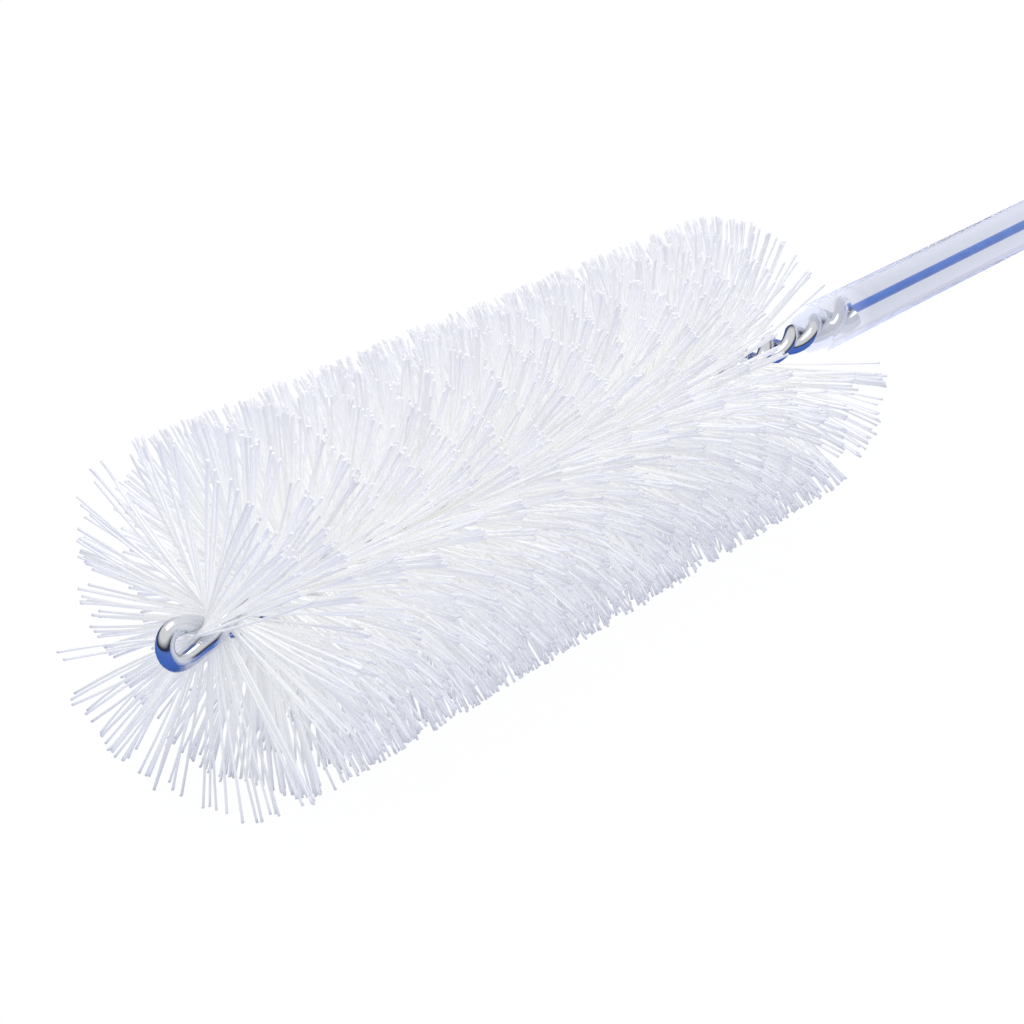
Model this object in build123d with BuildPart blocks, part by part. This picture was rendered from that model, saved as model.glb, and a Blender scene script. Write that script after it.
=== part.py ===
from build123d import *
from math import cos, radians, sin
import os

# A bottle brush: nylon bristles pinched in a twisted wire, on a clear rod handle with a blue core.
# Millimetres. The brush lies along X on its bristles, with its nose towards -X.
# Every piece is first built about the X axis, with X = 0 where the bristles begin.

# Wire stem: one wire, folded at the nose, with its two legs twisted together
wire_diameter = 2.9
wire_sides = 10  # flats drawn round the wire, so that the long twist stays light
twist_pitch = 18.75
spans_per_turn = 12  # straight spans drawn in each turn of the wire
loop_radius = 2.65  # centre line of the fold at the nose
loop_lead = 4.4  # from the fold's centre to the first bristle
lead_spans = 4
fold_turn = 40.0  # how far the twist turns between the fold and the first bristle
overrun_spans = 2  # drawn past the wire's end, so that both legs are cut off square
slope_step = 0.01  # on each side of a place where a leg's direction is taken
pinch_gap = 0.8  # the bristles hold the two legs this far apart
bare_gap = 0.1  # between the legs where no bristle parts them
pinch_release = 6.0  # length over which the legs close up past the bristles
bare_length = 24.0  # twisted wire in view between the bristles and the handle

# Bristles: each turn of the twist holds the same bundles, each pinched in its middle
bristle_turns = 8
bundles_per_turn = 24
head_radius = 30.0
rest_reach = 28.9  # from the axis down to the flat that the brush lies on
tuft_length = 2.9  # at the tip, along the brush
tuft_width = 2.5  # at the tip, round the brush
pinched_length = 0.5  # the same two sizes where the wire pinches the bundle
pinched_width = 0.3
tip_lean = 2.5  # how far the tips lean towards the nose

# Handle
handle_diameter = 10.5
handle_length = 216.0
handle_end_round = 2.5
mouth_chamfer = 0.5
socket_depth = 14.3
socket_clearance = 0.15  # round the twisted wire, and past its end
core_diameter = 1.4
core_clearance = 0.03
core_cover = 3.0  # clear plastic left past the core at the far end

# Sizes that follow from these
wire_radius = wire_diameter / 2
pinched_radius = wire_radius + pinch_gap / 2
bare_radius = wire_radius + bare_gap / 2
bristle_length = bristle_turns * twist_pitch
bundle_step = twist_pitch / bundles_per_turn
bundle_turn = 360.0 / bundles_per_turn
start_angle = -90.0 + 2.5 * bundle_turn  # so that the third bundle points straight down
twist_rate = -360.0 / twist_pitch  # the wire is twisted left-handed
mouth_x = bristle_length + bare_length
wire_end_x = mouth_x + socket_depth - socket_clearance
handle_end_x = mouth_x + handle_length
nose_x = -loop_lead - loop_radius - wire_radius
core_length = handle_length - socket_depth - core_cover


def eased(share):
    # a smooth step from 0 to 1
    share = min(max(share, 0.0), 1.0)
    return share * share * (3.0 - 2.0 * share)


def across_axis(angle):
    # the direction square to the brush at this angle
    return Vector(0, cos(radians(angle)), sin(radians(angle)))


def twist_angle(x):
    # the twist that the bristles and both legs follow; it dies away towards the fold
    if x >= 0:
        return start_angle + twist_rate * x
    fade = -twist_rate * loop_lead / fold_turn
    return start_angle + fold_turn * (1 - (1 + x / loop_lead) ** fade)


def leg_radius(x):
    # how far a leg's centre line lies from the axis
    if x < 0:
        return pinched_radius + (loop_radius - pinched_radius) * eased(-x / loop_lead)
    closed = eased((x - bristle_length) / pinch_release)
    return pinched_radius + (bare_radius - pinched_radius) * closed


def leg_point(x):
    return Vector(x, 0, 0) + across_axis(twist_angle(x) - 90) * leg_radius(x)


def leg_plane(x):
    # the plane square to the first leg
    if x <= -loop_lead:
        along = Vector(1, 0, 0)
    else:
        along = leg_point(x + slope_step) - leg_point(x - slope_step)
    return Plane(origin=leg_point(x), x_dir=Vector(0, 1, 0).cross(along).cross(-along), z_dir=along)


def leg_stations():
    # places along the brush where the leg's section is drawn, to past its cut end
    span = twist_pitch / spans_per_turn
    lead_in = [-loop_lead + loop_lead * i / lead_spans for i in range(lead_spans)]
    return lead_in + [span * i for i in range(int(wire_end_x / span) + 1 + overrun_spans)]


def hourglass(tip_size, middle_size, lean):
    # the outline of a bundle seen from one side, with the brush's axis through its middle
    tip, middle = tip_size / 2, middle_size / 2
    return [
        (-lean - tip, head_radius),
        (-lean + tip, head_radius),
        (middle, 0),
        (-lean + tip, -head_radius),
        (-lean - tip, -head_radius),
        (-middle, 0),
    ]


# One leg of the wire, from the fold to its cut end in the handle
with BuildPart() as leg:
    for x in leg_stations():
        with BuildSketch(leg_plane(x)):
            RegularPolygon(wire_radius, wire_sides)
    loft(ruled=True)
    split(bisect_by=Plane.YZ.offset(wire_end_x), keep=Keep.BOTTOM)

# The whole wire: the fold at the nose and its two legs
with BuildPart() as stem_wire:
    fold_start = leg_plane(-loop_lead)
    with BuildLine() as fold:
        ThreePointArc(
            fold_start.origin,
            (-loop_lead - loop_radius, 0, 0),
            fold_start.origin.rotate(Axis.X, 180),
        )
    with BuildSketch(fold_start):
        RegularPolygon(wire_radius, wire_sides)
    sweep(path=fold.line)
    add(leg.part)
    add(leg.part.rotate(Axis.X, 180))

# One bundle of bristles: pinched in the middle, spread at both tips
with BuildPart() as bundle:
    with BuildSketch(Plane.XZ):
        Polygon(hourglass(tuft_length, pinched_length, tip_lean), align=None)
    extrude(amount=tuft_width, both=True)
    with BuildSketch(Plane.YZ):
        Polygon(hourglass(tuft_width, pinched_width, 0), align=None)
    extrude(amount=tip_lean + tuft_length, both=True, mode=Mode.INTERSECT)

# One turn of bristles, trimmed to the flat that the brush lies on
with BuildPart() as turn:
    stations = [(step + 0.5) * bundle_step for step in range(bundles_per_turn)]
    with Locations(*[Location((x, 0, 0), (twist_angle(x) - 90, 0, 0)) for x in stations]):
        add(bundle.part)
    split(bisect_by=Plane.XY.offset(-rest_reach), keep=Keep.TOP)

# The clear rod, with a blind hole for the wire and a narrow one behind it for the core
with BuildPart() as handle:
    with BuildSketch(Plane.YZ.offset(mouth_x)):
        Circle(handle_diameter / 2)
    extrude(amount=handle_length)
    fillet(handle.edges().sort_by(Axis.X)[-1], handle_end_round)
    chamfer(handle.edges().sort_by(Axis.X)[0], mouth_chamfer)
    with BuildSketch(Plane.YZ.offset(mouth_x)):
        Circle(bare_radius + wire_radius + socket_clearance)
    extrude(amount=socket_depth, mode=Mode.SUBTRACT)
    with BuildSketch(Plane.YZ.offset(mouth_x + socket_depth)):
        Circle(core_diameter / 2 + core_clearance)
    extrude(amount=core_length, mode=Mode.SUBTRACT)

# The blue core
with BuildPart() as handle_core:
    with BuildSketch(Plane.YZ.offset(mouth_x + socket_depth)):
        Circle(core_diameter / 2)
    extrude(amount=core_length)

# Each piece is set down where it lies: the middle of its length over the origin, its flat at Z = 0
os.makedirs("parts", exist_ok=True)
rest_x = -(nose_x + handle_end_x) / 2
pieces = {"stem_wire": (stem_wire, 0), "handle": (handle, 0), "handle_core": (handle_core, 0)}
for number in range(bristle_turns):
    pieces[f"bristle_turn_{number + 1}"] = (turn, number * twist_pitch)
for name, (piece, along) in pieces.items():
    with BuildPart() as placed:
        with Locations((rest_x + along, 0, rest_reach)):
            add(piece.part)
    placed.part.label = name
    export_step(placed.part, f"parts/{name}.step")
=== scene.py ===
import bpy
import math
import numpy as np
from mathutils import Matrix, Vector


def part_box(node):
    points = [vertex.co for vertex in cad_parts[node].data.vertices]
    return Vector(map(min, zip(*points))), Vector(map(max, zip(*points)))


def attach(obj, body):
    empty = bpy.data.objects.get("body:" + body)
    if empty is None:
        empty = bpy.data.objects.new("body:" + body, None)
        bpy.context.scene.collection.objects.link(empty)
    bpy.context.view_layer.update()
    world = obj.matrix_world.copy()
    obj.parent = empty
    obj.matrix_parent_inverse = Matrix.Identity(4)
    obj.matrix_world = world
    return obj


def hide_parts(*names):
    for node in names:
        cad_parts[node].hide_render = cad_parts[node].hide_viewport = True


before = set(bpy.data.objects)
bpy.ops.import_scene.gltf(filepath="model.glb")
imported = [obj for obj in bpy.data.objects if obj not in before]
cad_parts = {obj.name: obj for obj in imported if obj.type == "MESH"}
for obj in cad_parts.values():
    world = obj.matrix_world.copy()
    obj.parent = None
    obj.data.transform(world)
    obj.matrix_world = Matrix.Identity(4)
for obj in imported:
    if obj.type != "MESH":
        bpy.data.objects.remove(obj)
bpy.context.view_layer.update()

print("frame loaded:", ", ".join(sorted(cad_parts)))

# the CAD sizes that the new pieces follow, in metres
stem = {
    "wireRadius": 0.00145,
    "twistPitch": 0.01875,
    "pinchedRadius": 0.00185,    # from the axis to a leg's centre line between the bristles
    "bareRadius": 0.0015,        # the same past the bristles
    "pinchRelease": 0.006,
    "loopRadius": 0.00265,
    "loopLead": 0.0044,
    "foldTurn": 40.0,            # degrees of twist from the fold to the first bristle
    "bundleTurn": 15.0,          # degrees of twist from one bundle to the next
    "stepsPerTurn": 40,
    "foldSteps": 16,
}
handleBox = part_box("handle")
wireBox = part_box("stem_wire")
axisHeight = (handleBox[0][2] + handleBox[1][2]) / 2
noseLength = stem["loopLead"] + stem["loopRadius"] + stem["wireRadius"]
bristleStart = wireBox[0][0] + noseLength
turnNodes = sorted(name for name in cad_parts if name.startswith("bristle_turn_"))
bristleLength = stem["twistPitch"] * len(turnNodes)


def eased(share):
    share = min(max(share, 0.0), 1.0)
    return share * share * (3 - 2 * share)


def twistAngle(x):
    # in degrees, with x from the first bristle: the third bundle points straight down, and the twist
    # dies away towards the fold
    start = -90 + 2.5 * stem["bundleTurn"]
    rate = -360 / stem["twistPitch"]
    if x >= 0:
        return start + rate * x
    fade = -rate * stem["loopLead"] / stem["foldTurn"]
    return start + stem["foldTurn"] * (1 - max(1 + x / stem["loopLead"], 0.0) ** fade)


def legRadius(x):
    pinched = stem["pinchedRadius"]
    if x < 0:
        return pinched + (stem["loopRadius"] - pinched) * eased(-x / stem["loopLead"])
    return pinched + (stem["bareRadius"] - pinched) * eased((x - bristleLength) / stem["pinchRelease"])


# small tools for modelling

def clearSelection():
    if bpy.context.object and bpy.context.object.mode != "OBJECT":
        bpy.ops.object.mode_set(mode="OBJECT")
    bpy.ops.object.select_all(action="DESELECT")


def named(name):
    piece = bpy.context.object
    piece.name = name
    piece.data.name = name
    return piece


def settle(piece):
    # the piece's place goes into its mesh
    clearSelection()
    piece.select_set(True)
    bpy.context.view_layer.objects.active = piece
    bpy.ops.object.transform_apply(location=True, rotation=True, scale=True)
    return piece


def applyModifiers(piece):
    clearSelection()
    piece.select_set(True)
    bpy.context.view_layer.objects.active = piece
    for modifier in list(piece.modifiers):
        bpy.ops.object.modifier_apply(modifier=modifier.name)
    return piece


# shader maths as plain expressions

class Val:
    def __init__(self, tree, socket):
        self.tree = tree
        self.socket = socket

    def math(self, operation, a, b=0.5):
        node = self.tree.nodes.new("ShaderNodeMath")
        node.operation = operation
        for i, value in enumerate((a, b)):
            if isinstance(value, Val):
                self.tree.links.new(value.socket, node.inputs[i])
            else:
                node.inputs[i].default_value = value
        return Val(self.tree, node.outputs[0])

    def __add__(self, other):
        return self.math("ADD", self, other)

    def __sub__(self, other):
        return self.math("SUBTRACT", self, other)

    def __rsub__(self, other):
        return self.math("SUBTRACT", other, self)

    def __mul__(self, other):
        return self.math("MULTIPLY", self, other)

    def __truediv__(self, other):
        return self.math("DIVIDE", self, other)

    def __rtruediv__(self, other):
        return self.math("DIVIDE", other, self)

    __radd__ = __add__
    __rmul__ = __mul__


class NodeTree:
    # the nodes of one material or of the world

    def __init__(self, tree):
        self.tree = tree

    def fill(self, target, value):
        if isinstance(value, Val):
            self.tree.links.new(value.socket, target)
        else:
            target.default_value = value

    def node(self, kind, settings=None, **sockets):
        made = self.tree.nodes.new(kind)
        for key, value in (settings or {}).items():
            if key == "stops":
                self.setStops(made.color_ramp, value)
            else:
                setattr(made, key, value)
        for socket, value in sockets.items():
            self.fill(made.inputs[socket.replace("_", " ")], value)
        return made

    def noise(self, place, scale, detail):
        return self.out(self.node("ShaderNodeTexNoise", Vector=place, Scale=scale, Detail=detail), "Fac")

    def ramp(self, value, *stops):
        return self.out(self.node("ShaderNodeValToRGB", {"stops": stops}, Fac=value))

    def mix(self, factor, first, second, blend="MIX"):
        # two colours; a colour mix keeps them on its sockets 6 and 7
        made = self.node("ShaderNodeMix", {"data_type": "RGBA", "blend_type": blend}, Factor=factor)
        self.fill(made.inputs[6], first)
        self.fill(made.inputs[7], second)
        return Val(self.tree, made.outputs[2])

    def setStops(self, ramp, stops):
        while len(ramp.elements) > 1:
            ramp.elements.remove(ramp.elements[-1])
        for i, (place, colour) in enumerate(stops):
            element = ramp.elements[0] if i == 0 else ramp.elements.new(place)
            element.position = place
            element.color = colour

    def out(self, node, name=None):
        return Val(self.tree, node.outputs[name] if name else node.outputs[0])


class Finish(NodeTree):
    # one material, with its Principled shader ready

    def __init__(self, name, **sockets):
        self.material = bpy.data.materials.new(name)
        self.material.use_nodes = True
        super().__init__(self.material.node_tree)
        self.shader = self.tree.nodes["Principled BSDF"]
        for socket, value in sockets.items():
            self.shader.inputs[socket.replace("_", " ")].default_value = value

    def feed(self, socket, value):
        self.tree.links.new(value.socket, self.shader.inputs[socket])


# Materials

wireLook = {
    "colour": (0.80, 0.81, 0.84, 1),
    "dullColour": (0.72, 0.74, 0.78, 1),
    "roughness": 0.13,
    "cloudScale": 160.0,
    "drawnScale": 900.0,        # fine lines left by drawing the wire
    "drawnDepth": 0.00001,
}


def makeWireFinish():
    look = wireLook
    finish = Finish("polishedWire", Metallic=1.0)
    place = finish.out(finish.node("ShaderNodeTexCoord"), "Object")
    grain = finish.noise(place, look["drawnScale"], 3.0)
    cloud = finish.noise(place, look["cloudScale"], 2.0)
    finish.feed("Roughness", look["roughness"] * (0.7 + 0.6 * cloud))
    finish.feed("Base Color", finish.ramp(cloud, (0.3, look["dullColour"]), (0.7, look["colour"])))
    bump = finish.node("ShaderNodeBump", Height=grain, Distance=look["drawnDepth"], Strength=0.4)
    finish.feed("Normal", finish.out(bump))
    return finish.material


bristleLook = {
    "rootColour": (0.95, 0.95, 0.945, 1),
    # painted lavender shade towards the tips, standing in for the blue light that fills the bristles'
    # shade; darker still at the cut end
    "paintedTipShade": (0.885, 0.89, 0.925, 1),
    "cutEndPaintedShade": (0.84, 0.845, 0.89, 1),
    "dullest": (0.88, 0.88, 0.885, 1),       # what the dullest filaments are multiplied by
    "roughness": 0.34,
    "glow": 0.18,               # painted glow: emission that stands in for the light the translucent nylon passes on
}


def makeBristleFinish():
    look = bristleLook
    finish = Finish("nylonFilament", Roughness=look["roughness"], IOR=1.53, Emission_Strength=look["glow"])
    along = finish.out(finish.node("ShaderNodeAttribute", {"attribute_name": "along"}), "Fac")
    tone = finish.out(finish.node("ShaderNodeAttribute", {"attribute_name": "tone"}), "Fac")
    # along each filament: near-white at the root, then painted lavender shade towards the tip
    shade = finish.ramp(along, (0.0, look["rootColour"]), (0.55, look["rootColour"]),
                        (0.93, look["paintedTipShade"]), (0.985, look["cutEndPaintedShade"]))
    each = finish.ramp(tone, (0.0, look["dullest"]), (0.6, (1, 1, 1, 1)))
    colour = finish.mix(1.0, shade, each, "MULTIPLY")
    finish.feed("Base Color", colour)
    # the filaments glow with this colour as painted light, at the strength of the painted glow
    finish.feed("Emission Color", colour)
    return finish.material


rodLook = {
    "colour": (0.65, 0.67, 0.75, 1),
    "roughness": 0.03,
    "ior": 1.12,
    "paintedEdgeGlow": (0.17, 0.175, 0.20, 1),      # painted glow along the rod's edges, standing in for the light the clear rod gathers there
    "paintedGlueGlow": 0.07,           # painted glow, as emission, over the glue round the wire
    "glueLength": 0.0155,
    "glueFade": 0.004,
    "hazeScale": 60.0,
}


def makeRodFinish():
    look = rodLook
    finish = Finish("clearRod", Base_Color=look["colour"], IOR=look["ior"], Transmission_Weight=0.92,
                    Emission_Strength=1.0)
    place = finish.out(finish.node("ShaderNodeTexCoord"), "Object")
    haze = finish.noise(place, look["hazeScale"], 3.0)
    finish.feed("Roughness", look["roughness"] * (0.6 + 0.8 * haze))
    # painted highlight: emission that grows towards the rod's outlines
    facing = finish.out(finish.node("ShaderNodeLayerWeight", Blend=0.5), "Facing")
    edge = finish.ramp(facing, (0.35, (0, 0, 0, 1)), (0.85, look["paintedEdgeGlow"]))
    split = finish.node("ShaderNodeSeparateXYZ", Vector=place)
    # painted glow over the glued length at the rod's mouth, fading out along the rod
    paintedGlueLight = (handleBox[0][0] + look["glueLength"] - finish.out(split, "X")) / look["glueFade"]
    paintedGlueLight = paintedGlueLight.math("MINIMUM", paintedGlueLight.math("MAXIMUM", paintedGlueLight, 0.0), 1.0) * look["paintedGlueGlow"]
    # the rod's emission is painted light only: the edge glow and the glue glow added together
    finish.feed("Emission Color", finish.mix(1.0, edge, paintedGlueLight, "ADD"))
    return finish.material


coreLook = {
    "colour": (0.05, 0.25, 0.80, 1),
    "darkColour": (0.03, 0.18, 0.70, 1),
    "roughness": 0.3,
    "streakScale": 220.0,
}


def makeCoreFinish():
    look = coreLook
    finish = Finish("blueCore", Roughness=look["roughness"])
    place = finish.out(finish.node("ShaderNodeTexCoord"), "Object")
    streak = finish.noise(place, look["streakScale"], 2.0)
    finish.feed("Base Color", finish.ramp(streak, (0.3, look["darkColour"]), (0.7, look["colour"])))
    return finish.material


# The wire: one round wire, from one cut end round the fold at the nose to the other

def legPoint(x, side):
    # the legs stand a quarter of a turn from the bristles between them
    angle = math.radians(twistAngle(x) - 90 + side)
    radius = legRadius(x)
    return Vector((bristleStart + x, radius * math.cos(angle), axisHeight + radius * math.sin(angle)))


def wireLine():
    endX = wireBox[1][0] - bristleStart
    step = stem["twistPitch"] / stem["stepsPerTurn"]
    count = int((endX + stem["loopLead"]) / step)
    stations = [endX - i * (endX + stem["loopLead"]) / count for i in range(count + 1)]
    first = [legPoint(x, 0) for x in stations]
    second = [legPoint(x, 180) for x in reversed(stations)]
    centre = (first[-1] + second[0]) / 2
    reach = first[-1] - centre
    forward = Vector((-stem["loopRadius"], 0, 0))
    turns = [math.pi * i / stem["foldSteps"] for i in range(1, stem["foldSteps"])]
    fold = [centre + reach * math.cos(turn) + forward * math.sin(turn) for turn in turns]
    return first + fold + second


def makeWire(material):
    line = wireLine()
    curve = bpy.data.curves.new("stemWire", "CURVE")
    curve.dimensions = "3D"
    curve.bevel_depth = stem["wireRadius"]
    curve.bevel_resolution = 6
    curve.use_fill_caps = True
    spline = curve.splines.new("POLY")
    spline.points.add(len(line) - 1)
    for point, place in zip(spline.points, line):
        point.co = (*place, 1)
    piece = bpy.data.objects.new("stemWire", curve)
    bpy.context.collection.objects.link(piece)
    clearSelection()
    piece.select_set(True)
    bpy.context.view_layer.objects.active = piece
    bpy.ops.object.convert(target="MESH")
    piece = named("stemWire")
    bpy.ops.object.shade_smooth_by_angle(angle=math.radians(50))
    piece.data.materials.clear()
    piece.data.materials.append(material)
    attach(piece, "root")
    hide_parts("stem_wire")
    return piece


# The bristles: one filament is modelled, then laid along each filament's own path

bristles = {
    "filamentRadius": 0.00021,
    "sides": 6,
    "rings": (0.12, 0.28, 0.46, 0.64, 0.82, 0.975, 1.0),
    "tipFlare": 1.12,            # the burr that the cut leaves at a tip
    "perTurn": 310,              # filaments in a turn, each with two ends
    "noseStart": 0.0018,         # the first ones stand this far before the first bundle
    "noseThin": 0.006,           # up to here only a share of them is left
    "noseShare": 0.42,
    "clumps": 30,                # tufts in a turn, whose tips draw together
    "clumpPull": 0.5,
    "clumpLean": 0.0006,         # how far tufts stray along the axis, and in degrees round it
    "clumpTurn": 2.0,
    "rootRadius": 0.0006,        # where a filament's own half begins, from the axis
    "reach": 0.0302,
    "reachSpread": 0.0006,
    "strays": 0.06,
    "strayReach": 0.0035,
    "strayLean": 2.2,            # how much more they lean about
    "noseLean": 0.0030,          # how far tips lean to the nose at the nose end
    "middleLean": 0.0015,
    "endLean": -0.0035,          # and to the handle at the other end
    "leanSpread": 0.0006,
    "sideSpread": 4.0,           # degrees
    "bow": 0.0026,               # how far a filament bows to one side
    "lastEighth": 0.12,          # share left in the last eighth of a turn
    "partLength": 0.024,         # before the handle the filaments part round the stem
    "partAngle": 145.0,          # in degrees: the way they part, and how far to each side
    "partWidth": 19.0,
    "partShare": 0.03,           # share left there
    "floorGap": 0.0002,
    "seed": 11,
}


def modelFilament():
    # a square-cut filament one unit long along Z, with a small burr at its tip
    clearSelection()
    bpy.ops.mesh.primitive_circle_add(vertices=bristles["sides"], radius=1, fill_type="NGON")
    piece = named("oneFilament")
    bpy.ops.object.mode_set(mode="EDIT")
    bpy.ops.mesh.select_all(action="SELECT")
    below = 0.0
    for height in bristles["rings"]:
        bpy.ops.mesh.extrude_region_move(TRANSFORM_OT_translate={"value": (0, 0, height - below)})
        below = height
    flare = bristles["tipFlare"]
    bpy.ops.transform.resize(value=(flare, flare, 1), center_override=(0, 0, 1))
    bpy.ops.mesh.select_all(action="SELECT")
    bpy.ops.mesh.normals_make_consistent(inside=False)
    bpy.ops.object.mode_set(mode="OBJECT")
    corners = np.array([v.co[:] for v in piece.data.vertices])
    faces = [list(p.vertices) for p in piece.data.polygons if p.center.z > 1e-4]
    bpy.data.objects.remove(piece)
    return corners, faces


def layFilaments(name, corners, faces, roots, turns, tips, bends, tones):
    # roots, tips: ends of each filament's axis; bends: its sideways bow; turns: its own twist
    count = len(roots)
    share = corners[:, 2][None, :, None]
    axis = tips - roots
    length = np.linalg.norm(axis, axis=1, keepdims=True)
    ahead = axis / length
    side = np.cross(ahead, np.array([1.0, 0.0, 0.0]))
    side /= np.linalg.norm(side, axis=1, keepdims=True)
    other = np.cross(ahead, side)
    c, s = np.cos(turns)[:, None], np.sin(turns)[:, None]
    first, second = side * c + other * s, other * c - side * s
    centre = roots[:, None, :] + axis[:, None, :] * share + bends[:, None, :] * (share ** 2)
    radius = bristles["filamentRadius"]
    around = first[:, None, :] * corners[None, :, 0:1] + second[:, None, :] * corners[None, :, 1:2]
    points = centre + around * radius
    points[:, :, 2] = np.maximum(points[:, :, 2], bristles["floorGap"])
    mesh = bpy.data.meshes.new(name)
    size = len(corners)
    allFaces = [[v + i * size for v in face] for i in range(count) for face in faces]
    mesh.from_pydata(points.reshape(-1, 3).tolist(), [], allFaces)
    mesh.update()
    mesh.polygons.foreach_set("use_smooth", [len(face) == 4 for face in allFaces])
    along = mesh.attributes.new("along", "FLOAT", "POINT")
    along.data.foreach_set("value", np.tile(corners[:, 2], count))
    tone = mesh.attributes.new("tone", "FLOAT", "POINT")
    tone.data.foreach_set("value", np.repeat(tones, size))
    piece = bpy.data.objects.new(name, mesh)
    bpy.context.collection.objects.link(piece)
    return piece


def makeTurn(number, node, corners, faces, material):
    look = bristles
    random = np.random.default_rng(look["seed"] + number)
    start = number * stem["twistPitch"]
    end = start + stem["twistPitch"]
    if number == 0:
        start -= look["noseStart"]
    count = round(look["perTurn"] * (end - start) / stem["twistPitch"])
    x = start + (end - start) * (np.arange(count) + random.random(count)) / count
    # the first few millimetres and the last eighth of a turn have lost many of their filaments
    lastEighth = bristleLength - stem["twistPitch"] / 8
    left = np.where(x < look["noseThin"], look["noseShare"], 1.0)
    left = np.where(x > lastEighth, look["lastEighth"], left)
    x = x[random.random(count) < left]
    angle = np.array([twistAngle(value) for value in x])
    x, angle = np.concatenate([x, x]), np.concatenate([angle, angle + 180])
    fromPart = np.abs((angle - look["partAngle"] + 180) % 360 - 180)
    parted = (fromPart < look["partWidth"]) & (x > bristleLength - look["partLength"])
    kept = ~parted | (random.random(len(x)) < look["partShare"])
    x, angle = x[kept], angle[kept]
    count = len(x)
    # tufts: each filament's tip is drawn to the middle of its tuft
    clumpLength = stem["twistPitch"] / look["clumps"]
    clump = np.floor(x / clumpLength).astype(int)
    middle = (clump + 0.5) * clumpLength
    pull = (middle - x) * look["clumpPull"] * random.random(count)
    lot = (clump - clump.min()) * 2 + (np.arange(count) >= count / 2)
    clumpLean = random.normal(0, look["clumpLean"], lot.max() + 1)[lot]
    clumpTurn = random.normal(0, look["clumpTurn"], lot.max() + 1)[lot]
    angle = angle - 360 / stem["twistPitch"] * pull + clumpTurn
    angle = np.radians(angle + random.normal(0, look["sideSpread"], count))
    out = np.stack([np.zeros(count), np.cos(angle), np.sin(angle)], 1)
    across = np.stack([np.zeros(count), -np.sin(angle), np.cos(angle)], 1)
    reach = look["reach"] - np.abs(random.normal(0, look["reachSpread"], count))
    strays = random.random(count) < look["strays"]
    reach = np.where(strays, reach - random.random(count) * look["strayReach"], reach)
    share = x / bristleLength
    towardsNose = (look["middleLean"] + (look["noseLean"] - look["middleLean"]) * (1 - share) ** 4
                   + (look["endLean"] - look["middleLean"]) * share ** 12)
    lean = random.normal(0, look["leanSpread"], count)
    lean = -towardsNose + lean * np.where(strays, look["strayLean"], 1.0)
    lean += pull + clumpLean
    axis = np.stack([bristleStart + x, np.zeros(count), np.full(count, axisHeight)], 1)
    roots = axis + out * look["rootRadius"]
    tips = roots + out * (reach - look["rootRadius"])[:, None]
    tips[:, 0] += lean
    bow = random.normal(0, look["bow"] / 2, (count, 2))
    bends = across * bow[:, :1]
    bends[:, 0] += bow[:, 1]
    tips -= bends
    turns = random.random(count) * math.pi
    piece = layFilaments(node.replace("turn", "filaments"), corners, faces, roots, turns, tips, bends,
                         random.random(count))
    piece.data.materials.append(material)
    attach(piece, "root")
    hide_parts(node)
    return piece


# The clear rod: a round bar with softened ends, which closes round the wire with its clear glue

rod = {
    "sides": 96,
    "mouthBevel": 0.0005,
    "endRound": 0.0025,
}


def makeRod(material):
    low, high = Vector(handleBox[0]), Vector(handleBox[1])
    radius = (high.z - low.z) / 2
    length = high.x - low.x
    clearSelection()
    bpy.ops.mesh.primitive_cylinder_add(vertices=rod["sides"], radius=radius, depth=length,
                                        end_fill_type="NGON", rotation=(0, math.pi / 2, 0),
                                        location=((low.x + high.x) / 2, 0, axisHeight))
    piece = settle(named("clearRod"))
    weights = piece.data.attributes.new("bevel_weight_edge", "FLOAT", "EDGE")
    values = []
    for edge in piece.data.edges:
        a, b = (piece.data.vertices[i].co for i in edge.vertices)
        outer = all(math.hypot(v.y, v.z - axisHeight) > radius * 0.95 for v in (a, b))
        atEnd = abs(a.x - b.x) < 1e-6 and outer
        farEnd = atEnd and a.x > high.x - 1e-5
        values.append(1.0 if farEnd else rod["mouthBevel"] / rod["endRound"] if atEnd else 0.0)
    weights.data.foreach_set("value", values)
    bevel = piece.modifiers.new("ends", "BEVEL")
    bevel.limit_method = "WEIGHT"
    bevel.width = rod["endRound"]
    bevel.segments = 5
    applyModifiers(piece)
    bpy.ops.object.shade_smooth_by_angle(angle=math.radians(35))
    piece.data.materials.clear()
    piece.data.materials.append(material)
    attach(piece, "root")
    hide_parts("handle")
    return piece


wireFinish = makeWireFinish()
bristleFinish = makeBristleFinish()
rodFinish = makeRodFinish()
coreFinish = makeCoreFinish()

makeWire(wireFinish)
print("wire made")

filamentCorners, filamentFaces = modelFilament()
for number, node in enumerate(turnNodes):
    makeTurn(number, node, filamentCorners, filamentFaces, bristleFinish)
print("bristles made")

makeRod(rodFinish)
for slot in bpy.data.objects["handle_core"].material_slots:
    slot.material = coreFinish
print("handle made")


# Floor, light and camera

studio = {
    "floorColour": (0.53, 0.57, 0.69, 1),
    "floorMirrored": (0.05, 0.14, 0.52, 1),   # what shiny pieces show of the floor
    "floorSize": 6,
    "floorGlow": 0.94,           # how much of the floor the camera sees as plain white
    "floorWhite": 1.03,          # how bright that white is
    "worldStrength": 0.80,
    "worldColour": (0.985, 0.985, 1.0, 1),
    "wallMirrored": (0.02, 0.03, 0.06, 1),    # what shiny pieces show of the room low down
    "skyMirrored": (1.0, 1.0, 1.0, 1),        # and high up
    "mirrorDepth": 2.5,          # rays deeper than the first mirroring don't see it
    "keyPower": 3.0,
    "keyPlace": (-0.10, 0.10, 0.95),
    "keySize": 0.5,
}

view = {
    "azimuth": -52.2,
    "elevation": 23.5,
    "focalPixels": 2250.0,
    "framePixels": 1024,
    "anchor": (200.0, 634.0),    # where the first bristle's root is seen
    "anchorDepth": 0.3306,
}


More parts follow.
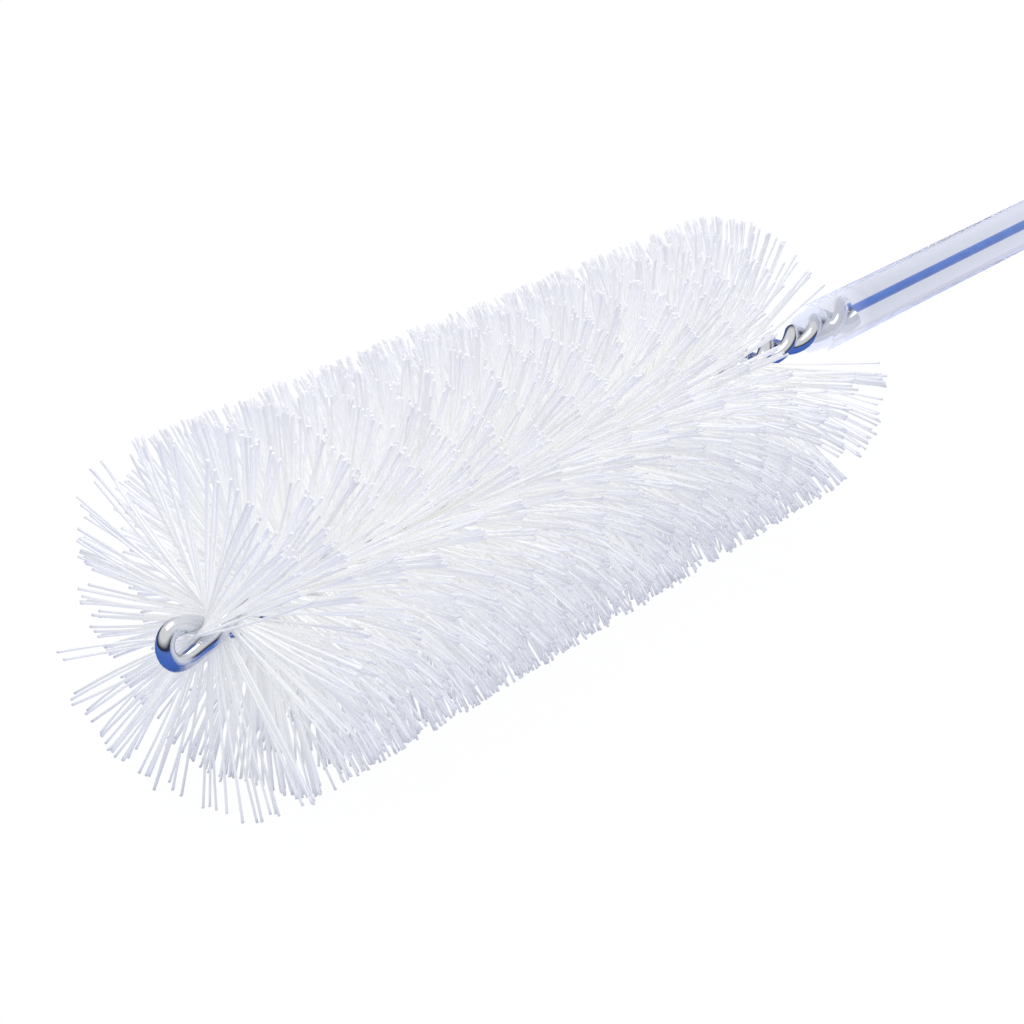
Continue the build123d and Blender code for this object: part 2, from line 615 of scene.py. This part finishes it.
def makeFloor():
    clearSelection()
    bpy.ops.mesh.primitive_plane_add(size=studio["floorSize"], location=(0, 0, 0))
    floor = settle(named("floorPlane"))
    finish = Finish("paleFloor", Roughness=0.9)
    tree = finish.tree
    seen = finish.node("ShaderNodeLightPath")
    finish.feed("Base Color", finish.mix(finish.out(seen, "Is Glossy Ray"), studio["floorColour"],
                                         studio["floorMirrored"]))
    glow = finish.node("ShaderNodeEmission", Color=(1, 1, 1, 1), Strength=studio["floorWhite"])
    mix = finish.node("ShaderNodeMixShader")
    direct = finish.out(seen, "Is Camera Ray") + finish.out(seen, "Is Transmission Ray")
    share = direct * studio["floorGlow"]
    tree.links.new(share.socket, mix.inputs[0])
    tree.links.new(finish.shader.outputs[0], mix.inputs[1])
    tree.links.new(glow.outputs[0], mix.inputs[2])
    tree.links.new(mix.outputs[0], tree.nodes["Material Output"].inputs["Surface"])
    floor.data.materials.append(finish.material)


def makeLamp(name, power, place, size):
    lamp = bpy.data.lights.new(name, "AREA")
    lamp.energy = power
    lamp.size = size
    holder = bpy.data.objects.new(name, lamp)
    bpy.context.collection.objects.link(holder)
    holder.location = place
    aim = Vector((bristleStart + bristleLength / 2, 0, axisHeight)) - Vector(place)
    holder.rotation_euler = aim.to_track_quat("-Z", "Y").to_euler()


def makeWorld():
    world = bpy.data.worlds.new("studio")
    bpy.context.scene.world = world
    world.use_nodes = True
    room = NodeTree(world.node_tree)
    background = world.node_tree.nodes["Background"]
    place = room.out(room.node("ShaderNodeTexCoord"), "Generated")
    height = room.out(room.node("ShaderNodeSeparateXYZ", Vector=place), "Z")
    mirrored = room.ramp(height, (0.15, studio["wallMirrored"]), (0.55, studio["skyMirrored"]))
    seen = room.node("ShaderNodeLightPath")
    # only the first mirroring shows the room, so that clear pieces stay pale inside
    depth = room.out(seen, "Ray Depth")
    mirror = room.out(seen, "Is Glossy Ray") * depth.math("LESS_THAN", depth, studio["mirrorDepth"])
    lit = room.mix(mirror, studio["worldColour"], mirrored)
    # the camera sees the room as plain white
    white = 1 / studio["worldStrength"]
    shown = room.mix(room.out(seen, "Is Camera Ray"), lit, (white, white, white, 1))
    room.fill(background.inputs["Color"], shown)
    background.inputs["Strength"].default_value = studio["worldStrength"]


def makeCamera():
    azimuth, elevation = math.radians(view["azimuth"]), math.radians(view["elevation"])
    forward = Vector((-math.sin(azimuth) * math.cos(elevation), math.cos(azimuth) * math.cos(elevation),
                      -math.sin(elevation)))
    right = forward.cross(Vector((0, 0, 1))).normalized()
    up = right.cross(forward)
    depth, focal, half = view["anchorDepth"], view["focalPixels"], view["framePixels"] / 2
    anchor = Vector((bristleStart, 0, axisHeight))
    place = anchor - forward * depth
    place -= right * ((view["anchor"][0] - half) * depth / focal)
    place += up * ((view["anchor"][1] - half) * depth / focal)
    camera = bpy.data.cameras.new("camera")
    camera.sensor_width = 36
    camera.lens = 36 * focal / view["framePixels"]
    camera.clip_start = 0.01
    holder = bpy.data.objects.new("camera", camera)
    bpy.context.collection.objects.link(holder)
    holder.location = place
    holder.rotation_euler = forward.to_track_quat("-Z", "Y").to_euler()
    bpy.context.scene.camera = holder


makeFloor()
makeWorld()
makeLamp("keyLamp", studio["keyPower"], studio["keyPlace"], studio["keySize"])
makeCamera()
bpy.context.scene.view_settings.view_transform = "Standard"
print("floor, lamps and camera placed")
